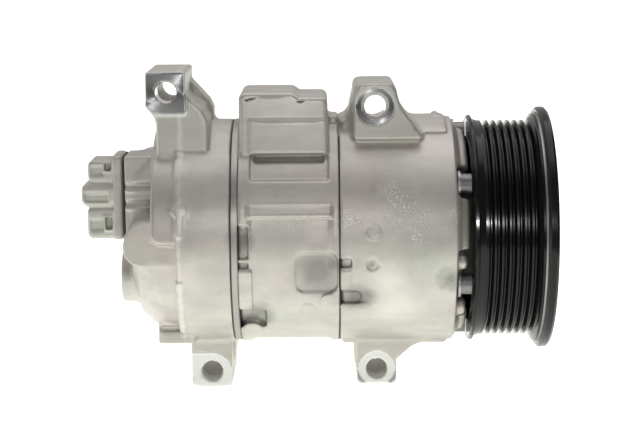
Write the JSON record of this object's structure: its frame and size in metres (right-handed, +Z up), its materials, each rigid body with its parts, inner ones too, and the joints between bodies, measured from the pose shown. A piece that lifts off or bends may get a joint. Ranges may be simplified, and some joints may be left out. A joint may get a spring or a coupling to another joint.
{
  "type": "automotive air-conditioning compressor",
  "caption": "Belt-driven swash-plate air-conditioning compressor with a ribbed clutchless pulley, bolted casing, mounting ears and a covered port block.",
  "frame": {"origin": "on the shaft axis at the middle of the belt", "axes": "+X along the shaft away from the casing, +Z up through the upper ears, +Y along the mounting bolts, away from the side with the machined ear faces"},
  "size_m": [0.2326, 0.1263, 0.1586],
  "materials": {
    "cast_aluminium": "die-cast, satin, machined on the bolt faces",
    "cover_casting": "rough cast, dull grey-green",
    "black_rim": "gloss black e-coat",
    "bright_steel": "ground, bright",
    "bearing_steel": "ground and polished",
    "dark_steel": "phosphated",
    "spring_steel": "oil-hardened wire",
    "cast_iron": "machined all over",
    "piston_alloy": "turned",
    "ring_polymer": "matt, filled",
    "cage_polymer": "moulded",
    "black_plastic": "moulded, fine grain",
    "rubber": "matt",
    "gasket": "rubber-coated sheet",
    "brass": "turned"
  },
  "bodies": {
    "casing": {"front_housing": "cast_aluminium", "cylinder_block": "cast_aluminium", "rear_housing": "cast_aluminium", "front_gasket": "gasket", "cylinder_gasket": "gasket", "suction_reed_plate": "spring_steel", "valve_plate": "bright_steel", "discharge_reed_plate": "spring_steel", "retainer_gasket": "gasket", "housing_bolts": "dark_steel", "bolt_washers": "bright_steel", "piston_1": "piston_alloy", "piston_2": "piston_alloy", "piston_3": "piston_alloy", "piston_4": "piston_alloy", "piston_5": "piston_alloy", "piston_6": "piston_alloy", "piston_rings": "ring_polymer", "piston_shoes": "bearing_steel", "front_bearing_cup": "bearing_steel", "rear_bearing_cup": "bearing_steel", "thrust_race": "bearing_steel", "shaft_seal_case": "bright_steel", "shaft_seal_lip": "rubber", "seal_snap_ring": "spring_steel", "pulley_bearing_inner_race": "bearing_steel", "bearing_snap_ring": "spring_steel", "port_cover_gasket": "gasket", "control_valve": "brass", "control_valve_rings": "rubber", "control_solenoid": "dark_steel", "control_snap_ring": "spring_steel", "connector": "black_plastic", "connector_pins": "brass", "check_valve_cage": "brass"},
    "drive": {"drive_shaft": "bearing_steel", "lug_plate": "cast_iron", "swash_plate": "cast_iron", "guide_pin": "bearing_steel", "tilt_spring": "spring_steel", "return_spring": "spring_steel", "spring_snap_ring": "spring_steel", "hub": "dark_steel", "hub_nut": "dark_steel", "damper_rubber": "rubber", "pulley_rim": "black_rim", "shim_disc": "bright_steel", "outer_ring": "black_rim", "pulley_bearing_outer_race": "bearing_steel"},
    "pulley_ball_set": {"pulley_bearing_balls": "bearing_steel", "pulley_bearing_cage": "cage_polymer"},
    "front_needle_set": {"front_bearing_needles": "bearing_steel", "front_bearing_cage": "dark_steel"},
    "rear_needle_set": {"rear_bearing_needles": "bearing_steel", "rear_bearing_cage": "dark_steel"},
    "thrust_needle_set": {"thrust_needles": "bearing_steel", "thrust_cage": "dark_steel"},
    "check_poppet": {"check_valve_poppet": "ring_polymer"},
    "port_cap": {"port_cover": "cover_casting", "port_cover_bolt": "dark_steel"}
  },
  "joints": [
    {"name": "shaft_spin", "type": "hinge", "parent": "casing", "child": "drive", "pos_m": [0, 0, 0], "axis": [1, 0, 0], "continuous": true},
    {"name": "ball_set_spin", "type": "hinge", "parent": "casing", "child": "pulley_ball_set", "pos_m": [0, 0, 0], "axis": [1, 0, 0], "continuous": true},
    {"name": "front_needle_spin", "type": "hinge", "parent": "casing", "child": "front_needle_set", "pos_m": [0, 0, 0], "axis": [1, 0, 0], "continuous": true},
    {"name": "rear_needle_spin", "type": "hinge", "parent": "casing", "child": "rear_needle_set", "pos_m": [0, 0, 0], "axis": [1, 0, 0], "continuous": true},
    {"name": "thrust_needle_spin", "type": "hinge", "parent": "casing", "child": "thrust_needle_set", "pos_m": [0, 0, 0], "axis": [1, 0, 0], "continuous": true},
    {"name": "check_valve_lift", "type": "slide", "parent": "casing", "child": "check_poppet", "axis": [-1, 0, 0], "range_m": [0, 0.005], "stiffness_N_per_m": 40, "springref_m": -0.002},
    {"name": "port_cap_off", "type": "slide", "parent": "casing", "child": "port_cap", "axis": [-1, 0, 0], "range_m": [0, 0.05]}
  ],
  "couplings": [
    {"joint": "ball_set_spin", "follows": "shaft_spin", "ratio": 0.569},
    {"joint": "front_needle_spin", "follows": "shaft_spin", "ratio": 0.4393},
    {"joint": "rear_needle_spin", "follows": "shaft_spin", "ratio": 0.4393},
    {"joint": "thrust_needle_spin", "follows": "shaft_spin", "ratio": 0.5}
  ]
}
